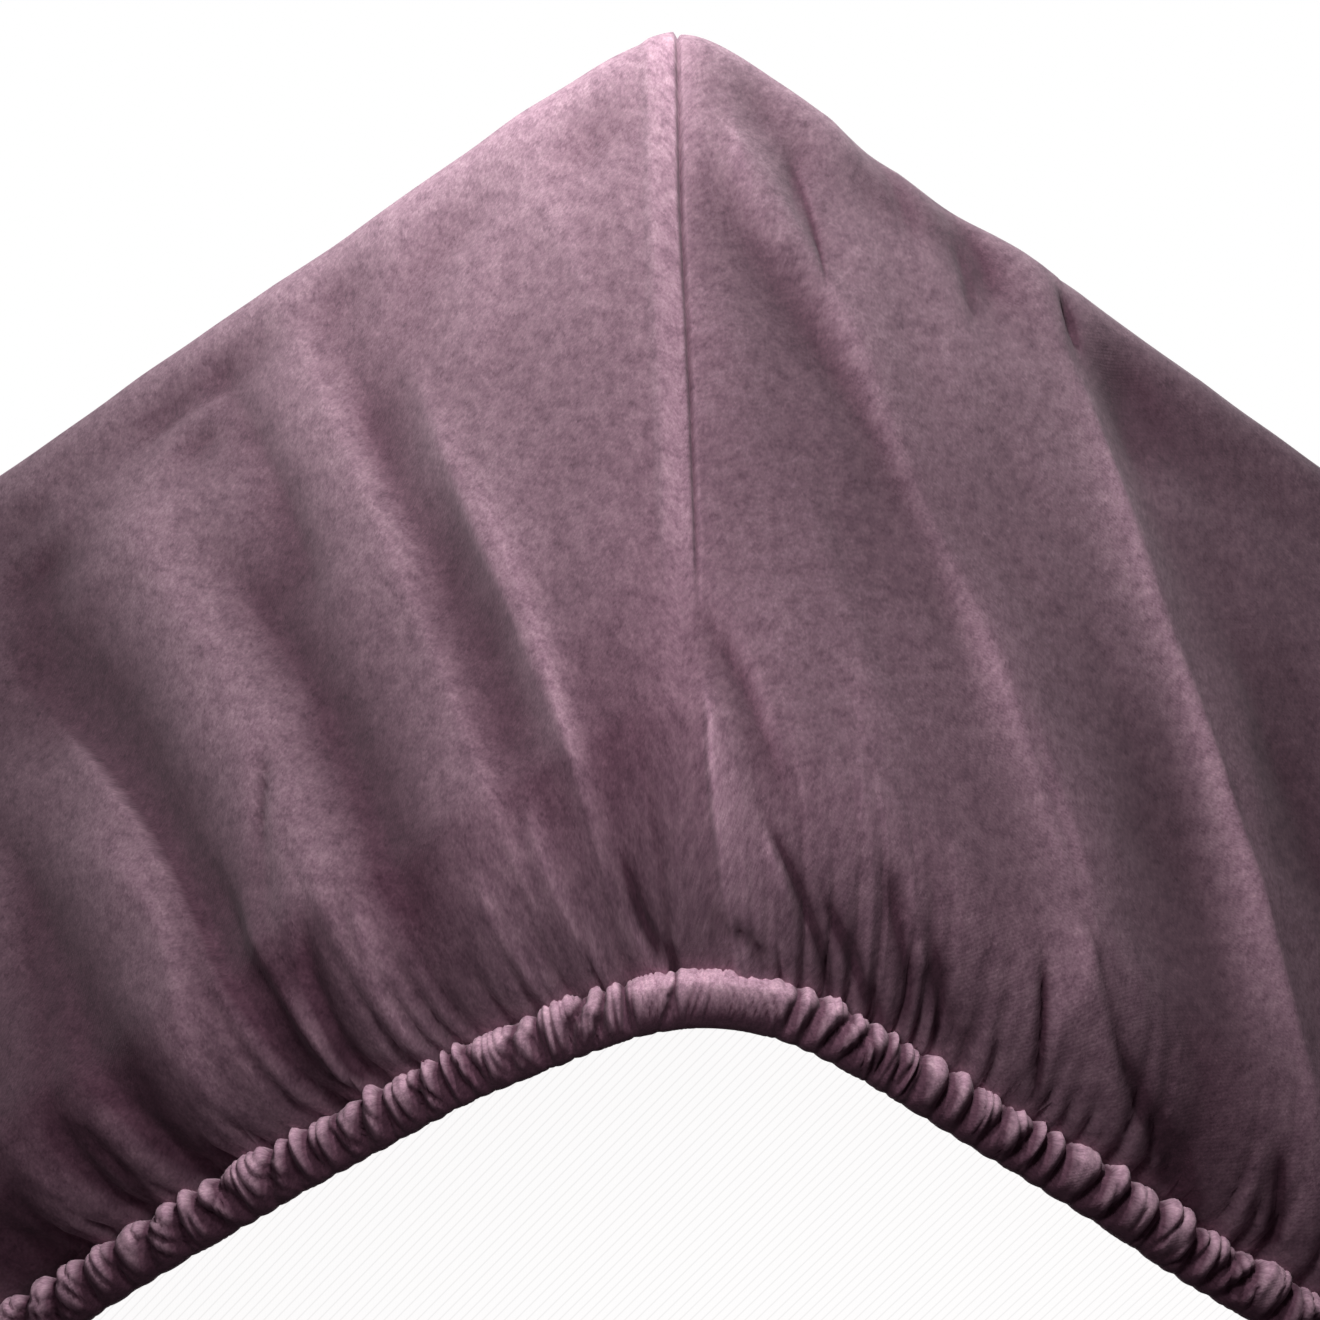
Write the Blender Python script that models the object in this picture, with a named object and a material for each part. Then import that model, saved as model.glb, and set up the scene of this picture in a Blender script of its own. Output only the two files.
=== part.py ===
"""Fitted sheet on a single mattress.

Metres, +Z up, the origin on the floor under the middle of the mattress. The sheet is one cloth:
a flat top, four walls with pulled folds, and a gathered elastic hem tucked under the mattress.
"""

import math
from collections import namedtuple

import bmesh
import bpy
import numpy as np

MM = 0.001

# Mattress
MATTRESS_WIDTH = 0.900
MATTRESS_LENGTH = 1.900
MATTRESS_DEPTH = 0.205
MATTRESS_LIFT = 0.012       # it lies on the gathered hem, this far above the floor
MATTRESS_CORNER = 0.050     # radius of its upright corners
MATTRESS_EDGE = 0.034       # radius of its top and bottom edges
CORNER_STEPS = 5
EDGE_STEPS = 4

# Cloth
CLOTH = 0.002               # thickness
TOP_GAP = 0.0005            # between the cloth and the mattress's top
EASE = 0.008                # from the mattress's wall to the cloth's outer face
TOP_EDGE = 0.022            # radius of the cloth's outer face over the top edge
BOTTOM_EDGE = 0.022         # and round the bottom edge
TUCK_HEIGHT = 0.008         # height of the cloth's outer face under the mattress
TOP_RING = 0.060            # how far in from the wall the loft of the top begins
CORNER_SOFT = 0.006         # roundness of the box corner's upright edge
HEM_SOFT = 0.021            # roundness of the hem's corner, where the elastic cuts across
TOP_SOFT = 0.030            # roundness of the ring on top
TOP_ROUNDING = 0.15         # share of that at the top of the edge

# Hem: a casing round its elastic, flat above and below where it is pressed
CASING_INSET = 0.030        # its middle, in from the wall
CASING_HALF_WIDTH = 0.0068
CASING_HALF_HEIGHT = 0.0062
CASING_FLAT = 65            # degrees from level at which its flats begin
PULL_LENGTH = 0.080         # how far from a corner the elastic draws the columns together
HEM_SKEW = 0.0026           # the pulled corner's elastic sits this much further in on one side
SKEW_NEAR = 0.025           # and out on the other, at its most this far from the corner
SKEW_FAR = 0.110            # and gone past this

# Gathers: neighbouring columns stand out and in by turns, some more than others
GATHER = 0.0014
GATHER_UNEVEN = 0.3
GATHER_FOOT = 0.06          # share of the gather left a fifth of the way up the wall

# Folds: limits of their relief, outwards and inwards
PROUD = 0.0050
SUNK = 0.0028
FOLD_SAMPLES = 28

# Columns of the loft run down the walls. A dense corner has narrow ones near it.
Spacing = namedtuple("Spacing", "near_back near_on near_step far_short far_long")
DENSE = Spacing(41, 32, 5.6 * MM, 6, 14)
PLAIN = Spacing(5, 5, 20 * MM, 5, 14)

# Columns lean with the folds, by so many metres along the wall for each metre down
LEAN_FROM = 0.110           # depth at which a leaning column crosses its upright place
LEAN_TO = 0.215             # and where it stops leaning, near the casing
LEAN_REACH = 0.260          # distance from the corner at which the lean dies out
Corner = namedtuple("Corner", "spacing lean fan skew folds")

# A fold runs from start past turn to end, each (mm along from the corner, mm down the wall).
# Height is its relief in mm, and before and after its soft width on either side, in mm.
Fold = namedtuple("Fold", "start turn end height before after")
PULLED_FOLDS = (
    Fold((3, 62), (81, 101), (118, 232), 4.4, 9, 18),
    Fold((12, 92), (58, 122), (84, 205), -2.4, 13, 10),
    Fold((98, 12), (147, 100), (186, 234), 5.0, 17, 8),
    Fold((114, 16), (166, 100), (200, 205), -2.6, 9, 20),
    Fold((-59, 114), (-40, 168), (-22, 216), 4.2, 8, 9),
    Fold((-90, 50), (-70, 132), (-18, 224), -2.6, 8, 8),
    Fold((-109, 56), (-76, 130), (-51, 224), 4.6, 10, 12),
    Fold((-128, 38), (-98, 136), (-68, 226), -2.4, 9, 10),
    Fold((-138, 92), (-117, 148), (-90, 222), 4.8, 12, 10),
    Fold((-168, 95), (-126, 161), (-113, 224), -2.8, 10, 8),
    Fold((-172, 128), (-143, 168), (-135, 228), 4.6, 10, 10),
    Fold((-176, 160), (-160, 200), (-150, 228), -2.4, 9, 9),
    Fold((-185, 185), (-172, 208), (-164, 234), 3.4, 12, 12),
)
PLAIN_FOLDS = (
    Fold((14, 30), (72, 66), (104, 215), 4.6, 16, 22),
    Fold((34, 88), (60, 130), (70, 215), -2.4, 16, 16),
    Fold((96, 14), (132, 100), (158, 210), 4.4, 18, 18),
    Fold((-18, 40), (-62, 86), (-88, 215), 4.4, 20, 16),
    Fold((-38, 100), (-48, 140), (-52, 215), -2.4, 14, 14),
    Fold((-104, 18), (-124, 106), (-158, 212), 4.8, 18, 20),
)

# Slow waves round the whole skirt: whole waves in one turn, relief in mm, phase
Wave = namedtuple("Wave", "turns height phase")
SKIRT_WAVES = (Wave(11, 0.8, 0.4), Wave(26, 0.6, 2.1), Wave(43, 0.4, 4.0))

# A row of the loft: inset from the wall, height, the angle of its outward normal above level,
# distance down the cloth from the top edge, shares of folds and gather, and corner roundness
Row = namedtuple("Row", "inset height tilt down folds gather soft")

PLUM = (0.215, 0.123, 0.162, 1.0)
TICKING = (0.83, 0.83, 0.82, 1.0)


def clear_scene():
    for old in list(bpy.data.objects):
        bpy.data.objects.remove(old, do_unlink=True)


def material(name, colour, roughness):
    made = bpy.data.materials.new(name)
    made.use_nodes = True
    shader = made.node_tree.nodes["Principled BSDF"]
    shader.inputs["Base Color"].default_value = colour
    shader.inputs["Roughness"].default_value = roughness
    shader.inputs["Metallic"].default_value = 0.0
    return made


def add_object(name, mesh, finish, home):
    mesh.materials.append(finish)
    mesh.shade_smooth()
    mesh.set_sharp_from_angle(angle=math.radians(50))
    thing = bpy.data.objects.new(name, mesh)
    home.objects.link(thing)
    return thing


# The sheet's section

OUTER_TOP = MATTRESS_LIFT + MATTRESS_DEPTH + TOP_GAP + CLOTH
WALL_TOP = OUTER_TOP - TOP_EDGE
WALL_FOOT = TUCK_HEIGHT + BOTTOM_EDGE


def arc_row(centre_height, radius, angle, start_down, turned, folds, gather, soft):
    """A row on an edge's arc: its inset and height from the arc's centre."""
    inset = radius * (1 - math.cos(math.radians(angle)))
    height = centre_height + radius * math.sin(math.radians(angle))
    down = start_down + radius * math.radians(turned)
    return Row(inset, height, angle, down, folds, gather, soft)


def outer_rows():
    """The cloth's outer face, from the ring on top down to the neck of the casing."""
    rows = [Row(TOP_RING, OUTER_TOP, 90, 0.0, 0.0, 0.0, TOP_SOFT)]
    for angle, folds in ((90, 0.0), (60, 0.25), (30, 0.6), (0, 0.9)):
        soft = CORNER_SOFT + (TOP_SOFT - CORNER_SOFT) * TOP_ROUNDING * (angle / 90) ** 2
        rows.append(arc_row(WALL_TOP, TOP_EDGE, angle, 0.0, 90 - angle, folds, 0.0, soft))
    wall_start = rows[-1].down
    wall = WALL_TOP - WALL_FOOT
    for share in (0.2, 0.4, 0.6, 0.8):
        gather = GATHER_FOOT if share > 0.7 else 0.0
        height = WALL_TOP - share * wall
        rows.append(Row(0.0, height, 0, wall_start + share * wall, 1.0, gather, CORNER_SOFT))
    under_start = wall_start + wall
    for angle, folds, gather, rounding in (
        (0, 1.0, 0.35, 0.15),
        (-30, 0.8, 0.85, 0.45),
        (-60, 0.45, 1.0, 0.75),
        (-85, 0.1, 0.7, 0.95),
    ):
        soft = CORNER_SOFT + (HEM_SOFT - CORNER_SOFT) * rounding
        rows.append(arc_row(WALL_FOOT, BOTTOM_EDGE, angle, under_start, -angle, folds, gather, soft))
    return rows


def casing_rows(down):
    """Round the casing: an ellipse cut flat above and below, from its outer foot to its top."""
    level = CASING_HALF_HEIGHT * math.sin(math.radians(CASING_FLAT))
    rows = []
    flats = (180 + CASING_FLAT, 360 - CASING_FLAT, 360 + CASING_FLAT, 540 - CASING_FLAT)
    for angle in (205, *flats[:2], 340, 380, *flats[2:]):
        inset = CASING_INSET + CASING_HALF_WIDTH * math.cos(math.radians(angle))
        height = level + CASING_HALF_HEIGHT * math.sin(math.radians(angle))
        gather = 0.0 if angle in flats else 1.0
        rows.append(Row(inset, height, 180 - angle, down, 0.0, gather, HEM_SOFT))
    return rows


def inner_rows(outer):
    """The inner face, one cloth's thickness behind every second row of the outer one."""
    rows = []
    kept = [row for row in outer if row.tilt not in (60, -30)]
    for row in reversed(kept):
        angle = math.radians(row.tilt)
        inset = row.inset + CLOTH * math.cos(angle)
        height = row.height - CLOTH * math.sin(angle)
        rows.append(row._replace(inset=inset, height=height))
    return rows


# The sheet round its four corners

def column_places(spacing, half_back, half_on):
    """Distances along the wall from one corner: negative back to the last side's middle."""
    near = np.arange(-spacing.near_back, spacing.near_on + 1) * spacing.near_step

    def far(reach, half):
        count = spacing.far_long if half > MATTRESS_WIDTH else spacing.far_short
        return np.linspace(reach, half, count + 1)[1:]

    return np.concatenate([-far(-near[0], half_back)[::-1], near, far(near[-1], half_on)[:-1]])


def leaning(places, down, corner):
    """Columns near the corner lean, or fan out, with the depth below the top edge."""
    near = np.exp(-(places / LEAN_REACH) ** 4)
    return places + near * (min(down, LEAN_TO) - LEAN_FROM) * (corner.lean + corner.fan * places)


def soft_plus(value, soft):
    """A hyperbola that runs from 0 to value, rounded over soft."""
    return (value + np.sqrt(value ** 2 + 4 * soft ** 2)) / 2


def fold_relief(along, down, folds):
    """Relief of the pulled folds, in mm, where along and down are in metres."""
    share = np.linspace(0, 1, FOLD_SAMPLES)[:, None]
    total = np.zeros_like(along)
    spot = np.stack([along, down], axis=-1) / MM
    for fold in folds:
        start, turn, end = (np.array(point, float) for point in (fold.start, fold.turn, fold.end))
        path = (1 - share) ** 2 * start + 2 * share * (1 - share) * turn + share ** 2 * end
        away = spot[..., None, :] - path
        apart = np.linalg.norm(away, axis=-1)
        nearest = apart.argmin(axis=-1)
        side = np.take_along_axis(away[..., 0], nearest[..., None], axis=-1)[..., 0]
        width = np.where(side < 0, fold.before, fold.after)
        rising = np.clip(nearest / (0.3 * FOLD_SAMPLES), 0.15, 1)
        total += fold.height * rising * np.exp(-(apart.min(axis=-1) / width) ** 2)
    return total


def skirt_relief(round_place, whole_round):
    turn = 2 * math.pi * round_place / whole_round
    return sum(wave.height * np.sin(wave.turns * turn + wave.phase) for wave in SKIRT_WAVES)


def corner_points(corner, row, places, parity, place, directions, halves, round_start, whole_round):
    """Points of one row round one corner, from the middle of a side to the middle of the next."""
    on, back = directions
    half_on, half_back = halves
    along = leaning(places, row.down, corner)
    relief = fold_relief(along, np.full_like(along, row.down), corner.folds)
    relief = relief + skirt_relief(round_start + along, whole_round) * min(1.0, row.down / 0.15)
    relief = np.clip(relief * MM, -SUNK, PROUD) * row.folds
    crowding = 1 - row.inset / PULL_LENGTH * np.exp(-np.abs(along) / PULL_LENGTH)
    relief = relief + GATHER * row.gather * crowding * parity
    tilt = math.radians(row.tilt)
    hem_share = (row.soft - CORNER_SOFT) / (HEM_SOFT - CORNER_SOFT) if row.tilt <= 0 else 0.0
    skew = np.tanh(along / SKEW_NEAR) * np.exp(-(along / SKEW_FAR) ** 2)
    inset = row.inset - relief * math.cos(tilt) - corner.skew * hem_share * skew
    height = np.maximum(row.height + relief * math.sin(tilt), 0.0)
    pulled = along - np.sign(along) * inset * (1 - np.exp(-np.abs(along) / PULL_LENGTH))
    out = inset + soft_plus(pulled, row.soft)
    behind = inset + soft_plus(-pulled, row.soft)
    out = np.where(pulled > 0, np.minimum(out, half_on), out)
    behind = np.where(pulled < 0, np.minimum(behind, half_back), behind)
    flat = place + out[:, None] * on + behind[:, None] * back
    return np.column_stack([flat, height])


def sheet_rings(rows, corners):
    """Each row as a closed ring of points round the whole sheet."""
    half_x = MATTRESS_WIDTH / 2 + EASE
    half_y = MATTRESS_LENGTH / 2 + EASE
    whole_round = 4 * (half_x + half_y)
    turns = (
        ((half_x, -half_y), (0, 1), (-1, 0), half_y, half_x),
        ((half_x, half_y), (-1, 0), (0, -1), half_x, half_y),
        ((-half_x, half_y), (0, -1), (1, 0), half_y, half_x),
        ((-half_x, -half_y), (1, 0), (0, 1), half_x, half_y),
    )
    rings = [[] for _ in rows]
    round_start = 0.0
    counted = 0
    for corner, (place, on, back, half_on, half_back) in zip(corners, turns):
        places = column_places(corner.spacing, half_back, half_on)
        column = counted + np.arange(len(places))
        parity = (1 - 2 * (column % 2)) * (1 - GATHER_UNEVEN * np.sin(2.4 * column) ** 2)
        directions = (np.array(on, float), np.array(back, float))
        for ring, row in zip(rings, rows):
            ring.append(corner_points(corner, row, places, parity, np.array(place), directions,
                                      (half_on, half_back), round_start, whole_round))
        round_start += 2 * half_on
        counted += len(places)
    return [np.concatenate(ring) for ring in rings]


def loft(name, rings):
    """A closed solid: quads between neighbouring rings, and a face over the first and last."""
    count = len(rings[0])
    points = np.concatenate(rings)
    faces = []
    for ring in range(len(rings) - 1):
        for column in range(count):
            after = (column + 1) % count
            a, b = ring * count + column, ring * count + after
            faces.append((a, a + count, b + count, b))
    last = (len(rings) - 1) * count
    faces.append(tuple(range(count)))
    faces.append(tuple(range(last + count - 1, last - 1, -1)))
    mesh = bpy.data.meshes.new(name)
    mesh.from_pydata(points.tolist(), [], faces)
    mesh.validate()
    return mesh


def make_sheet(home):
    pulled = Corner(DENSE, 0.34, 0.0, HEM_SKEW, PULLED_FOLDS)
    plain = Corner(PLAIN, 0.0, 1.4, 0.0, PLAIN_FOLDS)
    outer = outer_rows()
    rows = outer + casing_rows(outer[-1].down) + inner_rows(outer)
    mesh = loft("sheet", sheet_rings(rows, (pulled, plain, plain, plain)))
    return add_object("sheet", mesh, material("plum_cotton", PLUM, 0.9), home)


def make_mattress(home):
    """A box with round upright corners and softly rounded top and bottom edges."""
    shape = bmesh.new()
    bmesh.ops.create_cube(shape, size=1.0)
    bmesh.ops.scale(shape, verts=shape.verts, vec=(MATTRESS_WIDTH, MATTRESS_LENGTH, MATTRESS_DEPTH))
    middle = MATTRESS_LIFT + MATTRESS_DEPTH / 2
    bmesh.ops.translate(shape, verts=shape.verts, vec=(0, 0, middle))
    upright = [edge for edge in shape.edges if abs(edge.verts[0].co.z - edge.verts[1].co.z) > 0.1]
    bmesh.ops.bevel(shape, geom=upright, offset=MATTRESS_CORNER, segments=CORNER_STEPS,
                    profile=0.5, affect="EDGES")
    level = [edge for edge in shape.edges
             if abs(edge.verts[0].co.z - edge.verts[1].co.z) < 1e-6
             and abs(abs(edge.verts[0].co.z - middle) - MATTRESS_DEPTH / 2) < 1e-6]
    bmesh.ops.bevel(shape, geom=level, offset=MATTRESS_EDGE, segments=EDGE_STEPS,
                    profile=0.5, affect="EDGES")
    mesh = bpy.data.meshes.new("mattress")
    shape.to_mesh(mesh)
    shape.free()
    return add_object("mattress", mesh, material("ticking", TICKING, 0.85), home)


def main():
    clear_scene()
    home = bpy.data.collections.new("fitted_sheet")
    bpy.context.scene.collection.children.link(home)
    make_sheet(home)
    make_mattress(home)


main()
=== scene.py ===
import math
from collections import namedtuple

import bmesh
import bpy
import numpy as np
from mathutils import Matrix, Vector


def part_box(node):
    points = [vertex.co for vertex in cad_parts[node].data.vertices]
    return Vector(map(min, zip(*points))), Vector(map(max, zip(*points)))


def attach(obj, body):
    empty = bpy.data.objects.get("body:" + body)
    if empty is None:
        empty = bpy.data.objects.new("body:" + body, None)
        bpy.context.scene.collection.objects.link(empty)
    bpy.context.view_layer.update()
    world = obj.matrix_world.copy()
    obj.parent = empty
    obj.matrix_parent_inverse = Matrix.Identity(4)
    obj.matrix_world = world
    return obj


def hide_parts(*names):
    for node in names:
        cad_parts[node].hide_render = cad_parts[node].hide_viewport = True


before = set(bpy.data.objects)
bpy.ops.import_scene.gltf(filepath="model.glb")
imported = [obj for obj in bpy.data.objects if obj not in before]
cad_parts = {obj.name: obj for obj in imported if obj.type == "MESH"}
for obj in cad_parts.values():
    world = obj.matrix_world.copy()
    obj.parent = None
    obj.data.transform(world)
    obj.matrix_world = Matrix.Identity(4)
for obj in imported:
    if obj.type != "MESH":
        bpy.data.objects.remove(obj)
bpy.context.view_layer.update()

print("stage 1: frame loaded")

mm = 0.001

# The cloth's section and plan, as on the solid that it replaces, in metres
cloth = dict(
    thickness=0.0012,
    ease=0.008,          # from the mattress's wall to the cloth's outer face
    topEdge=0.022,       # radius over the mattress's top edge
    bottomEdge=0.022,    # radius round its bottom edge
    tuckHeight=0.008,    # outer face under the mattress
    tuckTurn=85,         # degrees that the cloth turns under before its casing
    tuckEnd=0.011,       # how far the cloth runs on over the casing
    cornerSoft=0.006,    # roundness of the box corner's upright edge
    hemSoft=0.021,       # roundness of the hem's corner
    topSoft=0.010,       # extra roundness at the top of the edge
    pullLength=0.080,    # how far from a corner the elastic draws the cloth along
    hemSkew=0.0026,      # the hem of the pulled corner sits in on one side, out on the other
    skewNear=0.025,
    skewFar=0.110,
    proud=0.0070,        # limits of the relief, outwards and inwards
    sunk=0.0060,
    topWave=0.0008,      # height of the waves in the top
)

# Columns and rows of the cloth's grid
grid = dict(
    nearReach=0.215, nearStep=1.25 * mm, seamStep=0.6 * mm, seamReach=(-0.006, 0.045),
    plainReach=0.120, plainStep=5 * mm, farStep=9 * mm, growth=0.10,
    lean=0.34, leanFrom=0.110, leanTo=0.215, leanReach=0.26, seamHold=0.07,
    topRows=6, topMiddle=0.97, edgeRows=8, wallRows=42, footRows=22, innerEvery=9,
)

mattressLow, mattressHigh = (np.array(corner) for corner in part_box("mattress"))
sheetHigh = np.array(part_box("sheet")[1])
halfX = mattressHigh[0] + cloth["ease"]
halfY = mattressHigh[1] + cloth["ease"]
wholeRound = 4 * (halfX + halfY)
topHeight = sheetHigh[2]
wallTop = topHeight - cloth["topEdge"]
wallFoot = cloth["tuckHeight"] + cloth["bottomEdge"]
wallStart = cloth["topEdge"] * math.pi / 2          # distances down the cloth
wallEnd = wallStart + wallTop - wallFoot
neck = wallEnd + cloth["bottomEdge"] * math.radians(cloth["tuckTurn"])

# A fold: points of its path (mm along from the corner, mm down the cloth), height in mm, width of its
# flanks before and after in mm, and the share of its end over which it fades
Fold = namedtuple("Fold", "path height before after fade", defaults=(None,))

# The numbers of pulledFolds and pulledCreases are the rounded output of a least-squares fit to the photo's
# shading, and some rows were changed afterwards
pulledFolds = (
    Fold(((10, 53), (43, 76), (69, 116), (98, 160), (110, 229)), 4.4, 7.9, 17.4),
    Fold(((3, 71), (30, 84), (65, 114), (82, 176)), -4.3, 12.2, 26.0, 0.5),
    Fold(((112, 3), (112, 43), (156, 88), (166, 169), (198, 229)), 2.6, 19.9, 16.3),
    Fold(((110, 50), (161, 93), (199, 175)), -4.1, 19.8, 26.0, 0.3),
    Fold(((74, 61), (113, 107), (147, 185)), -0.7, 10.8, 8.7, 0.4),
    Fold(((-44, 48), (-28, 84), (-18, 115)), 0.6, 2.0, 4.3, 0.4),
    Fold(((-105, 41), (-62, 147), (-21, 222)), -4.8, 23.1, 26.0),
    Fold(((-77, 77), (-48, 156), (-20, 231)), 3.8, 5.5, 4.8),
    Fold(((-116, 37), (-75, 141), (-43, 231)), 2.5, 15.9, 4.1),
    Fold(((-137, 38), (-114, 90), (-98, 142)), -2.8, 9.3, 6.1, 0.5),
    Fold(((-139, 85), (-99, 154), (-73, 231)), -5.6, 10.8, 10.6),
    Fold(((-169, 57), (-131, 127), (-91, 230)), 4.0, 16.7, 14.4),
    Fold(((-185, 59), (-179, 102), (-154, 141), (-138, 180), (-115, 213)), -7.5, 23.9, 12.5),
    Fold(((-195, 91), (-157, 148), (-122, 225)), 5.7, 24.8, 1.6),
    Fold(((-208, 116), (-182, 163), (-158, 214), (-143, 234)), -4.0, 7.4, 9.7),
    Fold(((-218, 149), (-201, 192), (-175, 240)), -3.7, 23.9, 7.6),
    Fold(((111, 41), (141, 99), (168, 169), (185, 224)), 2.3, 5.7, 9.2),
    Fold(((93, 146), (107, 183), (127, 218)), -1.0, 2.4, 5.8),
    Fold(((146, 34), (135, 50), (146, 72)), -2.5, 9.0, 12.6, 0.4),
    Fold(((-196, 148), (-181, 189), (-181, 235)), -2.3, 9.0, 8.6),
    Fold(((-147, 108), (-113, 167), (-101, 230)), -0.8, 5.5, 6.3),
    Fold(((-61, 60), (-50, 124), (-22, 181)), 2.0, 26.0, 14.9, 0.4),
    Fold(((-169, 150), (-144, 188), (-140, 227)), 2.2, 8.5, 3.6),
    Fold(((38, 107), (54, 163), (92, 210)), -0.7, 5.2, 26.0, 0.3),
    Fold(((142, 120), (160, 193), (182, 229)), -3.5, 26.0, 26.0),
    Fold(((-100, 60), (-82, 112), (-63, 152)), 1.9, 14.2, 2.2, 0.4),
)
# Sharp creases that run into the casing, and short ones under the top edge
pulledCreases = (
    Fold(((2, 179), (19, 192), (26, 205), (35, 216)), -2.3, 7.6, 1.3, 0.5),
    Fold(((-134, 176), (-123, 198), (-117, 213), (-110, 237)), -4.1, 12.0, 1.5),
    Fold(((-129, 188), (-117, 212), (-110, 237)), 5.3, 2.2, 3.1),
    Fold(((-105, 203), (-106, 224), (-103, 239)), -2.9, 1.3, 4.4),
    Fold(((-174, 193), (-160, 222), (-155, 240)), -7.5, 1.9, 4.7),
    Fold(((-180, 212), (-173, 239)), -3.1, 3.6, 3.1),
    Fold(((-207, 221), (-198, 241)), -7.3, 12.0, 6.1),
    Fold(((-58, 213), (-54, 227), (-47, 236)), 1.6, 4.1, 2.1),
    Fold(((-116, 156), (-116, 180), (-113, 204)), -1.5, 3.7, 4.2, 0.4),
    Fold(((133, 203), (155, 218), (153, 246)), -2.4, 11.9, 12.0),
    Fold(((59, 215), (70, 222), (83, 230), (92, 235)), -2.1, 2.0, 2.8),
    Fold(((66, 213), (72, 224), (81, 227)), 2.4, 1.9, 2.6, 0.4),
    Fold(((102, 211), (110, 228), (118, 241)), -1.3, 0.9, 1.7),
    Fold(((42, 34), (33, 53), (54, 72)), -2.5, 6.6, 7.3, 0.4),
    Fold(((16, 45), (21, 63), (44, 75)), 2.3, 4.4, 12.0, 0.4),
    Fold(((115, 14), (118, 39), (115, 61)), -0.6, 1.7, 3.3, 0.5),
    Fold(((69, 21), (93, 35), (85, 60)), -3.4, 7.5, 10.3, 0.5),
    Fold(((-161, 42), (-145, 41), (-129, 41)), -2.3, 3.1, 3.2, 0.3),
    Fold(((-147, 52), (-141, 57), (-138, 51)), -2.4, 6.2, 8.3, 0.3),
    Fold(((-201, 51), (-194, 61), (-187, 53)), -2.5, 12.0, 4.5, 0.3),
    Fold(((-202, 37), (-187, 43), (-183, 58)), 1.9, 9.6, 5.5, 0.3),
    Fold(((-210, 180), (-193, 212), (-184, 237)), 2.0, 2.3, 4.3),
    Fold(((-191, 197), (-183, 223), (-174, 241)), 0.5, 3.2, 2.3),
    Fold(((-148, 199), (-141, 222), (-129, 238)), 0.6, 3.7, 3.0),
    Fold(((-89, 205), (-89, 224), (-83, 240)), 1.7, 3.3, 4.0),
    Fold(((-43, 206), (-37, 224), (-27, 237)), 2.2, 4.7, 2.9),
    Fold(((119, 200), (131, 226), (152, 238)), 1.1, 4.6, 4.2),
    Fold(((175, 196), (181, 223), (189, 241)), -0.6, 2.1, 3.0),
    Fold(((117, 17), (122, 31), (132, 47)), -0.3, 3.5, 6.9, 0.4),
    Fold(((47, 25), (65, 30), (67, 49)), -2.7, 5.6, 12.0, 0.4),
)
# Thin lines and sharp edges; their relief is also painted into the colour, as shade in the lines and
# highlight on the edges beside them. Many of these points, and of the numbers in topHollows, seam and
# valleys, are photo points turned into mm by another script
pulledLines = (
    Fold(((26, 218), (32, 222), (39, 227), (47, 233), (54, 241)), -1.9, 0.8, 1.2),
    Fold(((24, 219), (29, 223), (36, 228)), 1.1, 2.0, 0.9, 0.5),
    Fold(((43, 224), (53, 230), (63, 236), (71, 242)), -1.9, 1.1, 1.5),
    Fold(((12, 232), (20, 233), (28, 235), (37, 240)), -1.8, 1.0, 1.0),
    Fold(((-17, 223), (-12, 231), (-5, 238), (3, 243)), -2.0, 1.0, 1.5),
    Fold(((-16, 231), (-9, 237), (-3, 241)), 1.3, 1.6, 0.8),
    Fold(((109, 198), (116, 208), (128, 220), (133, 223)), -1.0, 1.0, 2.5),
    Fold(((132, 222), (146, 229), (161, 236), (168, 241)), -2.0, 1.4, 2.2),
    Fold(((103, 213), (107, 221), (115, 234)), -1.5, 1.0, 1.0),
    Fold(((113, 30), (117, 36), (119, 43)), -2.4, 1.2, 1.6, 0.4),
    Fold(((-135, 174), (-124, 196), (-117, 213), (-112, 225), (-110, 234)), -1.5, 1.6, 1.2),
    Fold(((-107, 213), (-105, 223), (-105, 230), (-104, 237)), -1.6, 1.4, 1.2),
    Fold(((-204, 226), (-201, 235), (-194, 239)), -1.5, 1.6, 1.6),
    Fold(((-176, 217), (-170, 226), (-169, 238)), -1.6, 1.4, 1.4),
    Fold(((-156, 225), (-153, 233), (-148, 239)), -1.2, 1.4, 1.4),
    Fold(((59, 214), (63, 221), (71, 229), (75, 236)), -1.0, 2.0, 2.0),
    Fold(((75, 221), (80, 228), (84, 235)), -1.0, 1.4, 1.4),
    Fold(((177, 219), (183, 227), (190, 236)), -1.6, 1.4, 1.4),
    Fold(((-115, 158), (-116, 169), (-116, 182)), -1.2, 0.9, 0.9, 0.4),
    Fold(((33, 46), (38, 57), (41, 67), (42, 75)), -0.8, 1.5, 1.2, 0.1),
    Fold(((84, 34), (86, 45), (85, 57)), -1.0, 1.5, 2.0, 0.4),
    Fold(((-59, 114), (-50, 141), (-43, 160), (-36, 183), (-24, 215)), 0.6, 0.9, 3.5, 0.3),
    Fold(((-66, 112), (-56, 141), (-48, 160), (-40, 184)), -0.6, 6.0, 1.0, 0.4),
    Fold(((84, 141), (90, 153), (98, 167), (109, 193)), 0.6, 6.0, 1.0, 0.2),
    Fold(((119, 51), (135, 91), (149, 121), (161, 148), (172, 184), (179, 200)), 1.0, 9.0, 1.3, 0.2),
    Fold(((8, 203), (9, 216), (13, 226), (17, 237)), 0.6, 0.7, 1.5),
)
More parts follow.
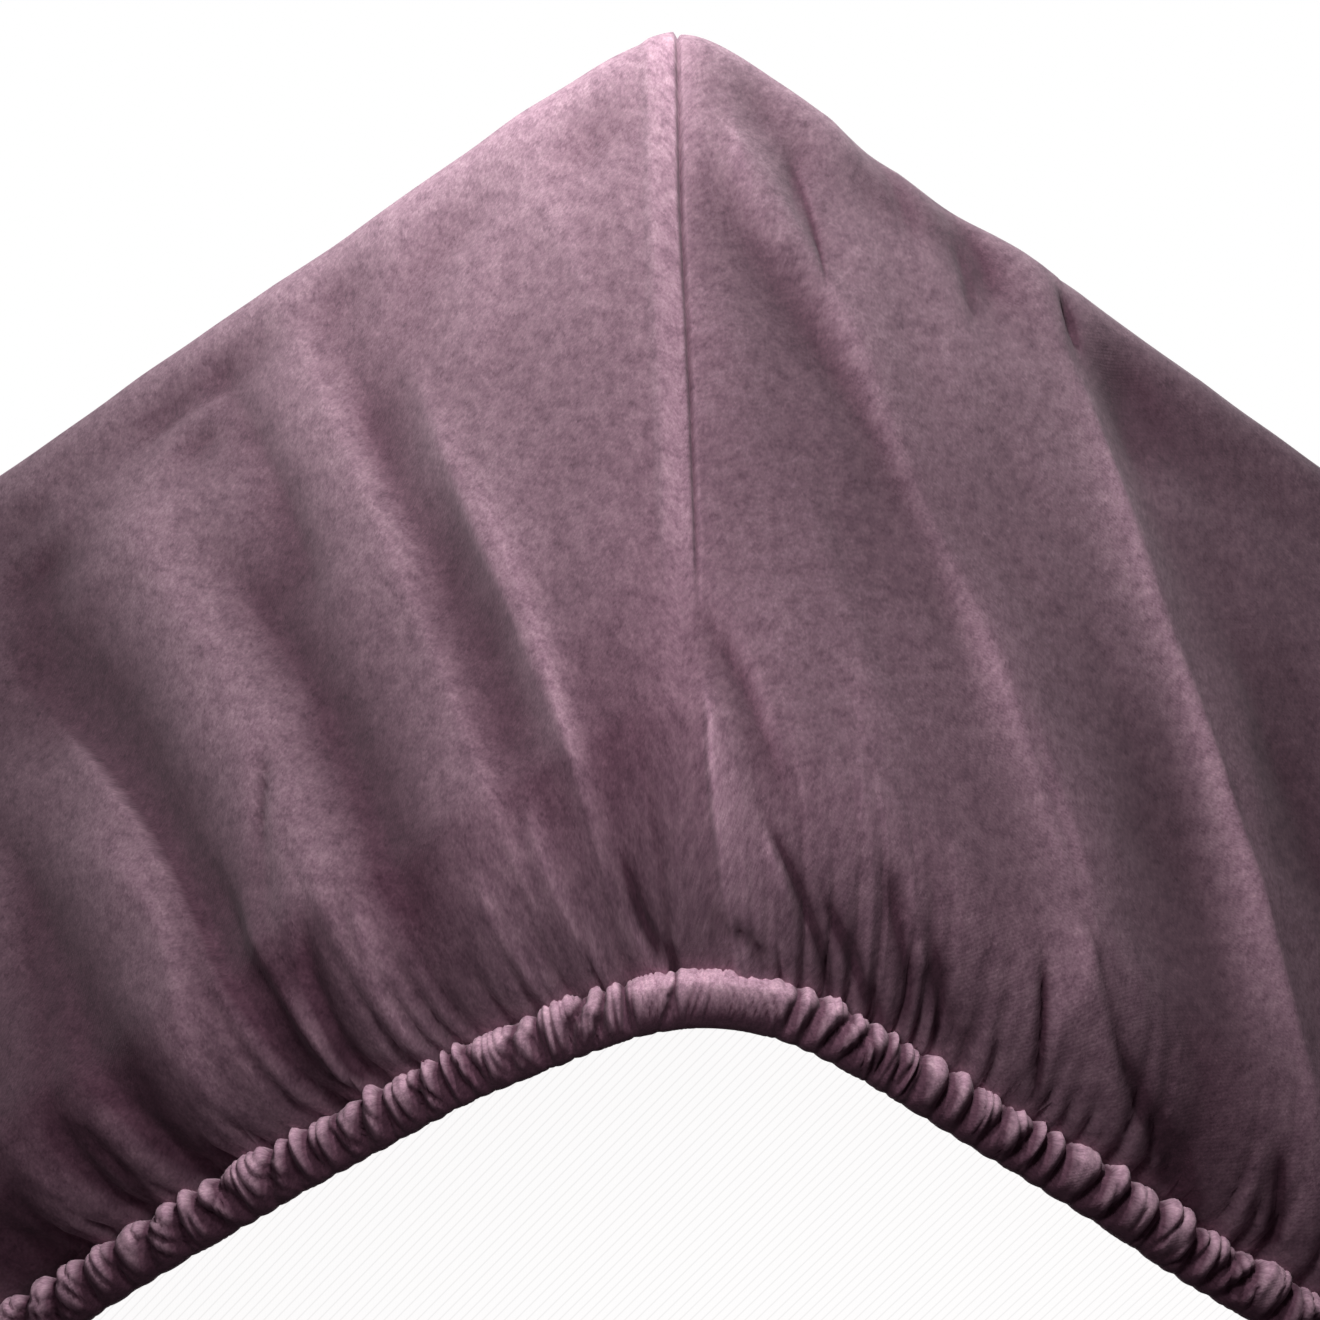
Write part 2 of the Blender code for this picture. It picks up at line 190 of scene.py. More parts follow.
# Soft hollows under the top edge: middle, half lengths along and down, depth, all in mm
topHollows = (
    (25, 36, 9, 8, 1.9), (58, 38, 12, 9, 2.2), (86, 36, 11, 9, 1.8), (150, 40, 30, 12, 2.0),
    (-26, 45, 11, 9, 1.6), (-66, 49, 12, 9, 1.4), (-98, 43, 11, 9, 1.3), (-130, 42, 13, 9, 1.5),
    (-156, 44, 12, 8, 1.3), (-194, 46, 16, 8, 1.5),
)
# The other three corners have fewer and broader folds
plainFolds = (
    Fold(((14, 30), (66, 97), (104, 226)), 4.0, 14, 20),
    Fold(((34, 88), (56, 144), (70, 226)), -2.2, 12, 12),
    Fold(((96, 14), (130, 110), (158, 226)), 3.8, 18, 13),
    Fold(((-18, 40), (-58, 110), (-88, 226)), 4.0, 18, 13),
    Fold(((-38, 100), (-46, 152), (-52, 226)), -2.2, 10, 12),
    Fold(((-104, 18), (-128, 114), (-158, 226)), 4.2, 14, 20),
)
# how strongly the thin lines' relief is painted into the colour, as shade in the lines and highlight on their
# edges
linePaintedShading = 3.0
foldProfile = dict(power=1.15, blunt=0.08)     # a drawn fold is sharper on its crest than a wave

# The corner seam: mm down the cloth, mm along, and where its allowance lies beside it
seam = dict(
    down=(15, 75, 130, 176, 200, 211, 219, 228, 234, 240),
    along=(-0.9, 0.3, 3.0, 4.7, 6.8, 8.0, 10.0, 14.0, 18.0, 22.0),
    allowance=7.6, raised=0.8, shoulder=3.6, groove=1.1, grooveWidth=0.65,
    fadeFrom=150, fadeTo=186, backFrom=192, backTo=212, foldWidth=(6, 24),
)

# Gathers of the hem: valleys of the pulled corner in mm along, and the usual pitch elsewhere
gathers = dict(
    valleys=(-204, -193, -184, -175, -165, -156, -148, -138, -131, -124, -117, -110, -102, -92, -84,
             -79, -73, -63, -53, -42, -31, -20, -3, 42, 49, 57, 65, 73, 79, 85, 94, 102, 110, 119,
             125, 131, 141, 150, 161, 174, 182, 188, 201),
    pitch=10 * mm, uneven=0.28, everySheet=3, finePitch=4.2 * mm,
    wallHeight=2.2, wallReach=(2, 20), wallWidth=(1.3, 0.16), fine=0.8, lean=0.34,
)

casing = dict(
    inset=0.0312, middle=0.0045, halfWidth=0.0064, halfHeight=0.0040, tilt=25, square=0.90, points=28,
    rimInset=0.0254, radial=0.293,       # keeps the band as wide round the corner as beside it
    depth=2.4 * mm, valleyWidth=1.9, fineWidth=0.8, innerShare=0.15, nearStep=0.55 * mm, farStep=3.2 * mm,
    wobble=0.6 * mm, slant=3 * mm, lean=1.6 * mm, wrinkle=1.5 * mm, rim=1.6 * mm,
)


def smoothStep(value, low, high):
    share = np.clip((value - low) / (high - low), 0, 1)
    return share * share * (3 - 2 * share)


def softPlus(value, soft):
    # a hyperbola that runs from 0 to value and is rounded over soft
    return (value + np.sqrt(value ** 2 + 4 * soft ** 2)) / 2


def section(down):
    # inset from the wall, height, tilt of the outward normal and corner roundness, by the distance
    # down the cloth: an arc over the top edge, the straight wall, an arc under, a short flat end
    turned = np.clip(down / cloth["topEdge"], 0, math.pi / 2)
    under = np.clip((down - wallEnd) / cloth["bottomEdge"], 0, math.radians(cloth["tuckTurn"]))
    past = np.clip(down - neck, 0, None)
    inset = cloth["topEdge"] * (1 - np.sin(turned)) + cloth["bottomEdge"] * (1 - np.cos(under)) + past
    inset = inset + np.clip(-down, 0, None)
    wallPart = np.clip(down - wallStart, 0, wallEnd - wallStart)
    height = wallTop + cloth["topEdge"] * np.cos(turned) - wallPart - cloth["bottomEdge"] * np.sin(under)
    tilt = math.pi / 2 - turned - under
    hemShare = 0.15 * smoothStep(down, wallEnd - 0.035, wallEnd)
    hemShare = hemShare + 0.85 * under / math.radians(cloth["tuckTurn"])
    soft = cloth["cornerSoft"] + (cloth["hemSoft"] - cloth["cornerSoft"]) * hemShare
    soft = soft + cloth["topSoft"] * (1 - turned / (math.pi / 2)) ** 2
    return inset, height, tilt, soft, hemShare


corners = (
    dict(place=(halfX, -halfY), on=(0, 1), back=(-1, 0), halfOn=halfY, halfBack=halfX, pulled=True),
    dict(place=(halfX, halfY), on=(-1, 0), back=(0, -1), halfOn=halfX, halfBack=halfY, pulled=False),
    dict(place=(-halfX, halfY), on=(0, -1), back=(1, 0), halfOn=halfY, halfBack=halfX, pulled=False),
    dict(place=(-halfX, -halfY), on=(1, 0), back=(0, 1), halfOn=halfX, halfBack=halfY, pulled=False),
)


def placed(corner, along, inset, height, soft):
    # round a corner the point runs on a hyperbola between the two walls, drawn along by the elastic
    pull = inset * (1 - np.exp(-np.abs(along) / cloth["pullLength"]))
    pulled = along - np.sign(along) * pull
    out = inset + softPlus(pulled, soft)
    behind = inset + softPlus(-pulled, soft)
    out = np.where(pulled > 0, np.minimum(out, corner["halfOn"]), out)
    behind = np.where(pulled < 0, np.minimum(behind, corner["halfBack"]), behind)
    x = corner["place"][0] + out * corner["on"][0] + behind * corner["back"][0]
    y = corner["place"][1] + out * corner["on"][1] + behind * corner["back"][1]
    return np.stack([x, y, height + 0 * x], axis=-1)


def skewed(corner, along, hemShare):
    if not corner["pulled"]:
        return 0 * along
    lean = np.tanh(along / cloth["skewNear"]) * np.exp(-(along / cloth["skewFar"]) ** 2)
    return cloth["hemSkew"] * hemShare * lean


def softNoise(around, down, wave, seed):
    # a sum of plane waves about one wave long, a whole number of them round the sheet
    dice = np.random.default_rng(seed)
    total = 0
    for turn, phase, stretch in zip(dice.uniform(0, math.pi, 8), dice.uniform(0, 6.28, 8),
                                    dice.uniform(0.7, 1.5, 8)):
        whole = np.round(wholeRound / wave * stretch * math.cos(turn))
        total = total + np.cos(2 * math.pi * (whole * around / wholeRound
                                              + stretch * math.sin(turn) * down / wave) + phase)
    return total / 2.8


def foldRelief(along, down, folds, samples=32):
    # each fold stands out by the distance from the one smooth curve through its points, on a rounded
    # tent that rises along its first third
    share = np.linspace(0, 1, samples)
    total = np.zeros_like(along)
    for fold in folds:
        points = np.array(fold.path, float)
        chords = np.linalg.norm(np.diff(points, axis=0), axis=1)
        knots = np.append(0, np.cumsum(chords)) / chords.sum()
        path = np.stack([np.polyval(np.polyfit(knots, points[:, axis], len(points) - 1), share)
                         for axis in (0, 1)], axis=-1)
        low, high = path.min(axis=0) - 70, path.max(axis=0) + 70
        near = (along > low[0]) & (along < high[0]) & (down > low[1]) & (down < high[1])
        sideways = along[near][:, None] - path[:, 0]
        lengthways = down[near][:, None] - path[:, 1]
        closest = (sideways ** 2 + lengthways ** 2).argmin(axis=1)
        row = np.arange(len(closest))
        sideways, lengthways = sideways[row, closest], lengthways[row, closest]
        # from the nearest point of the path on along its tangent, to the foot of the perpendicular
        tangent = np.gradient(path, axis=0)
        pace = np.linalg.norm(tangent, axis=1)[closest]
        tangent = tangent[closest] / pace[:, None]
        onward = np.clip(sideways * tangent[:, 0] + lengthways * tangent[:, 1], -pace / 2, pace / 2)
        sideways = sideways - onward * tangent[:, 0]
        lengthways = lengthways - onward * tangent[:, 1]
        apart = sideways ** 2 + lengthways ** 2
        reached = (closest + onward / pace) / samples
        side = (sideways * tangent[:, 1] - lengthways * tangent[:, 0]) / np.sqrt(apart + 1e-6)
        width = fold.before + (fold.after - fold.before) * smoothStep(side, -0.8, 0.8)
        rising = smoothStep(reached, -0.12, 0.3)
        if fold.fade is not None:
            rising = rising * (1 - smoothStep(reached, 1 - fold.fade, 1.02))
        blunt = foldProfile["blunt"] * width
        tent = (np.sqrt(apart + blunt ** 2) - blunt) / width
        total[near] += fold.height * rising * np.exp(-tent ** foldProfile["power"])
    return total


def seamPlace(down):
    return np.interp(down, seam["down"], seam["along"])


def seamRelief(along, down):
    # a raised band of folded allowance beside the stitched line, a groove in the line itself, and
    # lower down the allowance turned over to the other side, where it spreads out
    offset = along - seamPlace(down)
    upper = smoothStep(down, 8, 34) * (1 - smoothStep(down, seam["fadeFrom"], seam["fadeTo"]))
    lower = smoothStep(down, seam["backFrom"], seam["backTo"])
    band = smoothStep(offset, -seam["allowance"] - seam["shoulder"], -seam["allowance"])
    band = band * (1 - smoothStep(offset, -0.5, 0.35))
    spread = np.interp(down, (seam["backFrom"], 240), seam["foldWidth"])
    facet = smoothStep(offset, -1.2, 0.6) * np.clip(1 - offset / spread, 0, 1) * (offset > -1.2)
    groove = np.exp(-((offset - 0.25) / seam["grooveWidth"]) ** 2) * (upper + 0.35 * lower)
    pucker = np.exp(-((offset - 5) / 4.5) ** 2) * np.clip(np.sin(0.52 * (down - 0.5 * offset)), 0, 1) ** 3
    pucker = pucker * smoothStep(down, 84, 96) * (1 - smoothStep(down, 158, 172))
    return seam["raised"] * band * upper + 2.2 * facet * lower - seam["groove"] * groove - 0.3 * pucker


def valleyPlaces(step, seed, own=()):
    # places of the valleys between gathers, as distances round the whole sheet: the corner's own
    # ones first, and then the usual step, a little uneven
    dice = np.random.default_rng(seed)
    own = np.array(own) * mm if len(own) else np.zeros(1)
    count = int((wholeRound - own[-1] + own[0]) / step)
    rest = np.linspace(own[-1], own[0] + wholeRound, count + 1)[1:-1]
    rest = rest + dice.uniform(-1, 1, len(rest)) * gathers["uneven"] * step
    return np.concatenate([own, rest])


def gatherShape(around, places, seed, width):
    # 0 in a valley and nearly 1 a width away from it, with a low ridge where the cloth is heaped
    # beside the valley; also each gather's own random share
    ends = np.append(places, places[0] + wholeRound)
    wrapped = (around - ends[0]) % wholeRound + ends[0]
    order = np.clip(np.searchsorted(ends, wrapped, side="right") - 1, 0, len(places) - 1)
    apart = np.minimum(wrapped - ends[order], ends[order + 1] - wrapped) / mm / width
    share = np.random.default_rng(seed).uniform(0, 1, len(places))
    return (1 - np.exp(-apart ** 1.15)) * (1 + 0.22 * np.exp(-(apart - 1.9) ** 2)), share[order]


def clothRelief(corner, along, down, around):
    # how far the cloth stands out from its plain section, in metres
    a, s = along / mm, down / mm
    folds = pulledFolds if corner["pulled"] else plainFolds
    relief = foldRelief(a, s, folds)
    onWall = smoothStep(s, 4, 34)
    dents = 0.55 * softNoise(around, down, 0.110, 3) + 0.22 * softNoise(around, down, 0.034, 4)
    relief = relief + onWall * dents
    roll = np.exp(-((s - 22) / 12) ** 2) - 0.8 * np.exp(-((s - 50) / 14) ** 2)
    relief = relief + 0.7 * roll
    if corner["pulled"]:
        for middle, depth, halfAlong, halfDown, hollow in topHollows:
            reach = ((a - middle) / halfAlong) ** 2 + ((s - depth) / halfDown) ** 2
            relief = relief - hollow * np.exp(-reach)
    relief = relief * smoothStep(s, 2, 26) * (1 - 0.75 * smoothStep(s, wallEnd / mm, neck / mm))
    if corner["pulled"]:
        relief = relief + foldRelief(a, s, pulledCreases) + foldRelief(a, s, pulledLines) + seamRelief(a, s)
    # gathers rise out of the casing and die away up the wall, leaning with the folds
    leaned = around + gathers["lean"] * (neck - down) * corner["pulled"]
    above = np.clip(neck / mm - s, 0, None)
    width = gathers["wallWidth"][0] + gathers["wallWidth"][1] * above
    crest, share = gatherShape(leaned, valleys if corner["pulled"] else wideValleys, 5, width)
    reach = gathers["wallReach"][0] + (gathers["wallReach"][1] - gathers["wallReach"][0]) * share ** 2
    relief = relief + gathers["wallHeight"] * (0.3 + share) * np.exp(-above / reach) * (crest - 0.7)
    if corner["pulled"]:
        fine, share = gatherShape(leaned, fineValleys, 9, 0.7 * width)
        relief = relief + gathers["fine"] * share * np.exp(-above / 9) * (fine - 0.7)
    limit = np.where(relief > 0, cloth["proud"], cloth["sunk"]) / mm
    return limit * np.tanh(relief / limit) * mm


def columnPlaces(corner):
    # columns stand closest at the seam, close round the pulled corner, and grow apart from there
    reach, step = grid["plainReach"], grid["plainStep"]
    along = np.linspace(-corner["halfBack"], corner["halfOn"], 6001)
    if corner["pulled"]:
        reach, step = grid["nearReach"], grid["nearStep"]
        fine = smoothStep(along, grid["seamReach"][0] - 0.02, grid["seamReach"][0])
        fine = fine * (1 - smoothStep(along, grid["seamReach"][1], grid["seamReach"][1] + 0.02))
        step = step - (step - grid["seamStep"]) * fine
    step = np.minimum(step + np.clip(np.abs(along) - reach, 0, None) * grid["growth"], grid["farStep"])
    count = np.append(0, np.cumsum(np.diff(along) / (step[1:] + step[:-1]) * 2))
    columns = int(round(count[-1]))
    return np.interp(np.arange(columns) * count[-1] / columns, count, along)


def leaning(corner, places, down):
    # columns of the pulled corner lean with its folds, and follow the seam where they are near it
    if not corner["pulled"]:
        return places + 0 * down
    near = np.exp(-(places / grid["leanReach"]) ** 4)
    lean = near * grid["lean"] * (np.minimum(down, grid["leanTo"]) - grid["leanFrom"])
    hold = np.exp(-(places / grid["seamHold"]) ** 2)
    return places + hold * seamPlace(down / mm) * mm + (1 - hold) * lean


def skin(corner, places, downs, lift=0.0, smoothed=None):
    # points of the cloth's face for columns of places and rows of downs
    along = leaning(corner, places[None, :], downs[:, None])
    down = downs[:, None] + 0 * along
    around = corner["start"] + along
    inset, height, tilt, soft, hemShare = section(down)
    relief = clothRelief(corner, along, down, around) if smoothed is None else smoothed
    out = relief + lift
    inset = inset - out * np.cos(tilt) - skewed(corner, along, hemShare)
    points = placed(corner, along, inset, height + out * np.sin(tilt), soft)
    return points, relief, along, down


def closedMesh(name, points, uvs, values, capped, flatRows=0):
    # quads between rows of a grid that runs round, capped or not at both ends; each value goes to an
    # attribute of its name, and the first flat rows of quads take their UVs straight from above
    rows, columns = points.shape[:2]
    column = np.arange(columns)
    after = (column + 1) % columns
    step = np.arange(rows - 1)[:, None] * columns
    quads = np.stack([step + column, step + columns + column, step + columns + after, step + after], axis=-1)
    faces = quads.reshape(-1, 4)
    lengths = np.full(len(faces), 4)
    loops = faces.ravel()
    uAfter = np.append(uvs[0, 1:, 0], 2 * uvs[0, -1, 0] - uvs[0, -2, 0])
    u = np.stack([uvs[:-1, :, 0], uvs[1:, :, 0], uvs[1:, :, 0], uvs[:-1, :, 0]], axis=-1)
    u[:, :-1, 2] = uvs[1:, 1:, 0]
    u[:, :-1, 3] = uvs[:-1, 1:, 0]
    u[:, -1, 2:] = uAfter[-1]
    v = np.stack([uvs[:-1, :, 1], uvs[1:, :, 1], uvs[1:, :, 1], uvs[:-1, :, 1]], axis=-1)
    uvLoops = np.stack([u, v], axis=-1).reshape(-1, 2)
    flat = loops[:flatRows * columns * 4]
    uvLoops[:len(flat)] = points.reshape(-1, 3)[flat, :2]
    if capped:
        last = (rows - 1) * columns
        caps = np.concatenate([column, last + column[::-1]])
        loops = np.concatenate([loops, caps])
        lengths = np.append(lengths, [columns, columns])
        flatUvs = uvs.reshape(-1, 2)
        uvLoops = np.concatenate([uvLoops, flatUvs[caps]])
    mesh = bpy.data.meshes.new(name)
    mesh.vertices.add(rows * columns)
    mesh.vertices.foreach_set("co", points.reshape(-1))
    mesh.loops.add(len(loops))
    mesh.loops.foreach_set("vertex_index", loops)
    mesh.polygons.add(len(lengths))
    mesh.polygons.foreach_set("loop_start", np.concatenate([[0], np.cumsum(lengths)[:-1]]))
    mesh.polygons.foreach_set("loop_total", lengths)
    mesh.update(calc_edges=True)
    layer = mesh.uv_layers.new(name="clothUv")
    layer.data.foreach_set("uv", uvLoops.reshape(-1))
    for label, value in values.items():
        mesh.attributes.new(label, "FLOAT", "POINT").data.foreach_set("value", value.reshape(-1))
    mesh.validate()
    mesh.shade_smooth()
    piece = bpy.data.objects.new(name, mesh)
    bpy.context.scene.collection.objects.link(piece)
    return piece


def makeSheet():
    # outer face from the middle of the top, over the edge, down the wall and under to the casing;
    # then back up the inner face, which stays one thickness behind the deepest point near it
    downs = np.concatenate([
        np.linspace(0, wallStart, grid["edgeRows"])[:-1],
        np.linspace(wallStart, wallEnd, grid["wallRows"])[:-1],
        np.linspace(wallEnd, neck, grid["footRows"]),
        [neck + 0.5 * cloth["tuckEnd"], neck + cloth["tuckEnd"]],
    ])
    outer, inner, sheetPaintedShading, leans = [], [], [], []
    kept = np.unique(np.append(np.arange(0, len(downs), grid["innerEvery"]), len(downs) - 1))[::-1]
    for corner in corners:
        columns = columnPlaces(corner)
        points, relief, along, down = skin(corner, columns, downs)
        deepest = np.stack([relief[max(0, k - 7):k + 8].min(axis=0) for k in kept])
        behind, _, _, _ = skin(corner, columns, downs[kept], -cloth["thickness"], deepest)
        outer.append(points)
        inner.append(behind)
        # painted shade and highlight: the colour follows the relief, dark in its hollows and pale on its
        # ridges, and more strongly in the thin lines and on the seam's band and groove
        tone = relief / mm
        if corner["pulled"]:
            a, s = along / mm, down / mm
            tone = tone + linePaintedShading * foldRelief(a, s, pulledLines) + seamRelief(a, s)
        sheetPaintedShading.append(tone)
        # the cloth's grain is drawn askew, more so the further from the corner
        lean = 0.76 * down + 0.46 * np.abs(along)
        leans.append(np.stack([0.71 * (corner["start"] + along), lean], axis=-1))
    outer, inner, sheetPaintedShading, leans = (np.concatenate(part, axis=1) for part in (outer, inner, sheetPaintedShading, leans))
    rim = outer[0]
    spine = np.stack([0 * rim[:, 0], np.clip(rim[:, 1], halfX - halfY, halfY - halfX), rim[:, 2]], axis=-1)
    shares = np.linspace(grid["topMiddle"], 0, grid["topRows"] + 1)[:-1, None, None] ** 1.3
    top = rim + shares * (spine - rim)
    wave = softNoise(top[..., 0], top[..., 1], 0.26, 8) + 0.4 * softNoise(top[..., 0], top[..., 1], 0.11, 9)
    # the waves fade out at the rim and along the middle, where the rows meet
    fading = smoothStep(shares[..., 0], 0, 0.3) * (1 - smoothStep(shares[..., 0], 0.7, 0.95))
    top[..., 2] += cloth["topWave"] * wave * fading
    underTop = rim + shares[::-1][[0, -1]] * (spine - rim)
    underTop[..., 2] -= 2 * cloth["thickness"]
    points = np.concatenate([top, outer, inner, underTop])
    rows = len(points)
    uvs = np.zeros((rows, points.shape[1], 2))
    first = len(top)
    last = first + len(outer)
    uvs[:, :, 0] = leans[0, :, 0]
    uvs[first:last] = leans
    uvs[last:, :, 1] = 0.3
    depth = np.zeros((rows, points.shape[1]))
    depth[first:last] = sheetPaintedShading
    return closedMesh("fittedSheet", points, uvs, {"paintedFoldShading": depth}, True, first)


def makeCasing():
    # the casing is a gathered band folded over its elastic: its section is a flat squarish ellipse,
    # tilted so that its face looks out and down and pressed flat on the floor; it draws in at each
    # valley between gathers, most on its outward side, where the valleys slant both ways
    angle = np.linspace(0, 2 * math.pi, casing["points"], endpoint=False)[:, None]
    cosine, sine = np.cos(angle), np.sin(angle)
    tilt = math.radians(casing["tilt"])
    outward = casing["innerShare"] + (1 - casing["innerShare"]) * smoothStep(-cosine, -0.85, -0.1)
    outward = outward * (1 - 0.8 * smoothStep(sine, 0.3, 0.9))
    rim = smoothStep(-cosine, 0.5, 0.95)
    across = np.sign(cosine) * np.abs(cosine) ** casing["square"]
    upward = np.sign(sine) * np.abs(sine) ** casing["square"]
    rings, arounds, casingPaintedShading = [], [], []
    for corner in corners:
        reach = grid["nearReach"] if corner["pulled"] else 0.0
        middle = np.arange(-reach, reach, casing["nearStep"])
        backCount = int((corner["halfBack"] - reach) / casing["farStep"])
        onCount = int((corner["halfOn"] - reach) / casing["farStep"])
        along = np.concatenate([np.linspace(-corner["halfBack"], -reach, backCount, endpoint=False),
                                middle, np.linspace(reach, corner["halfOn"], onCount, endpoint=False)])
        around = corner["start"] + along + 0 * angle
        slant = cosine * (casing["lean"] + casing["slant"] * softNoise(around, 0 * around, 0.030, 31))
        crest, share = gatherShape(around + slant, valleys, 6, casing["valleyWidth"])
        drawn = (1 - crest) * (0.6 + 0.6 * share) * casing["depth"]
        if corner["pulled"]:
            fine, fineShare = gatherShape(around - 1.6 * slant, fineValleys, 7, casing["fineWidth"])
            drawn = drawn + (1 - fine) * fineShare * casing["wrinkle"]
            calm = smoothStep(along, -0.004, 0.006) * (1 - smoothStep(along, 0.032, 0.044))
            drawn = drawn * (1 - 0.5 * calm)
        drawn = drawn * outward
        puff = casing["rim"] * (share - 0.4) * crest * rim
        wide = casing["halfWidth"] + puff - drawn * np.abs(cosine) ** 0.5
        tall = casing["halfHeight"] + 0.6 * puff - drawn
        sway = casing["wobble"] * softNoise(around, 0 * around, 0.07, 21)
        inset = casing["inset"] + sway + wide * across * math.cos(tilt) + tall * upward * math.sin(tilt)
        height = casing["middle"] - wide * across * math.sin(tilt) + tall * upward * math.cos(tilt)
        soft = cloth["hemSoft"] - casing["radial"] * (inset - casing["rimInset"])
        inset = inset - skewed(corner, along, 1.0)
        rings.append(placed(corner, along + 0 * angle, inset, np.maximum(height, 0), soft))
        arounds.append(around[0])
        # painted shade and highlight: darker in the valleys between gathers and towards the band's inner,
        # lower edge, paler on the gathers' crests at its rim
        casingPaintedShading.append(0.4 - 3.4 * drawn / mm + 5.8 * rim * crest - 5.0 * smoothStep(cosine, -0.7, 0.8))
    points = np.concatenate(rings, axis=1)
    around = np.concatenate(arounds)
    depth = np.concatenate(casingPaintedShading, axis=1)
    points = np.concatenate([points, points[:1]])      # the section closes on itself
    depth = np.concatenate([depth, depth[:1]])
    uvs = np.zeros(points.shape[:2] + (2,))
    uvs[..., 0] = 0.8 * around
    uvs[..., 1] = neck + np.linspace(0, 0.040, len(points))[:, None]
    piece = closedMesh("hemCasing", points[::-1], uvs[::-1], {"paintedFoldShading": depth[::-1]}, False)
    weldDoubles(piece)
    return piece


def weldDoubles(piece):
    shape = bmesh.new()
    shape.from_mesh(piece.data)
    bmesh.ops.remove_doubles(shape, verts=shape.verts, dist=1e-6)
    shape.to_mesh(piece.data)
    shape.free()
    piece.data.shade_smooth()


valleys = valleyPlaces(gathers["pitch"], 12, gathers["valleys"])
wideValleys = valleyPlaces(gathers["pitch"] * gathers["everySheet"], 13)
fineValleys = valleyPlaces(gathers["finePitch"], 14)
start = 0.0
for corner in corners:
    corner["start"] = start
    start += 2 * corner["halfOn"]

sheet = makeSheet()
print("stage 2: sheet", len(sheet.data.loops) - 2 * len(sheet.data.polygons), "triangles")
hem = makeCasing()
print("stage 3: casing", len(hem.data.loops) - 2 * len(hem.data.polygons), "triangles")


# The mattress under the cloth
mattressForm = dict(
    corner=0.050, edge=0.034,
    cornerColumns=10, sideColumns=24, edgeRows=8, flatRows=5,
)


def makeMattress():
    # a rounded rectangle in plan, drawn in along a quarter circle at the top and bottom edges
    form = mattressForm
    half = np.array([mattressHigh[0], mattressHigh[1]])
    turn = np.linspace(0, math.pi / 2, form["cornerColumns"])
    outline, normals = [], []
    for quarter, (signX, signY) in enumerate(((1, -1), (1, 1), (-1, 1), (-1, -1))):
        angle = turn + (quarter - 1) * math.pi / 2
        middle = np.array([signX, signY]) * (half - form["corner"])
        normal = np.stack([np.cos(angle), np.sin(angle)], axis=-1)
        outline.append(middle + form["corner"] * normal)
        normals.append(normal)
        side = np.linspace(0, 1, form["sideColumns"] + 2)[1:-1, None]
        nextSign = np.array([(1, 1), (-1, 1), (-1, -1), (1, -1)][quarter])
        nextMiddle = nextSign * (half - form["corner"]) + form["corner"] * normal[-1]
        outline.append(outline[-1][-1] + side * (nextMiddle - outline[-1][-1]))
        normals.append(np.repeat(normal[-1:], len(side), axis=0))
    outline = np.concatenate(outline)
    normals = np.concatenate(normals)
    bend = np.linspace(math.pi / 2, 0, form["edgeRows"])
    low, high = mattressLow[2], mattressHigh[2]
    rows = []
    middle = np.clip(outline[:, 1], half[0] - half[1], half[1] - half[0])
    spine = np.stack([0 * middle, middle], axis=-1)
    flatEdge = outline - form["edge"] * normals
    for share in np.linspace(grid["topMiddle"], 0, form["flatRows"], endpoint=False):
        rows.append(np.column_stack([flatEdge + share * (spine - flatEdge), np.full(len(outline), high)]))
    for angle in bend:
        inward = form["edge"] * (1 - math.cos(angle))
        height = high - form["edge"] * (1 - math.sin(angle))
        rows.append(np.column_stack([outline - inward * normals, np.full(len(outline), height)]))
    upper = np.stack(rows)
    lower = upper[::-1].copy()
    lower[..., 2] = low + high - lower[..., 2]
    points = np.concatenate([upper, lower])
    uvs = points[..., :2].copy()
    return closedMesh("mattressBody", points, uvs, {}, True)


mattress = makeMattress()
print("stage 4: mattress", len(mattress.data.polygons), "faces")


# Materials

def newGroup(name, inputs, outputs):
    group = bpy.data.node_groups.new(name, "ShaderNodeTree")
    for label, kind, value in inputs:
        socket = group.interface.new_socket(label, in_out="INPUT", socket_type=kind)
        if value is not None:
            socket.default_value = value
    for label, kind in outputs:
        group.interface.new_socket(label, in_out="OUTPUT", socket_type=kind)
    return group


def addNode(tree, kind, place, **settings):
    node = tree.nodes.new(kind)
    node.location = place
    for key, value in settings.items():
        setattr(node, key, value)
    return node


def setInputs(node, values):
    for label, value in values.items():
        node.inputs[label].default_value = value


def mathNode(tree, operation, first, second, place):
    node = addNode(tree, "ShaderNodeMath", place, operation=operation)
    for socket, value in zip(node.inputs, (first, second)):
        if isinstance(value, (int, float)):
            socket.default_value = value
        elif value is not None:
            tree.links.new(value, socket)
    return node.outputs[0]


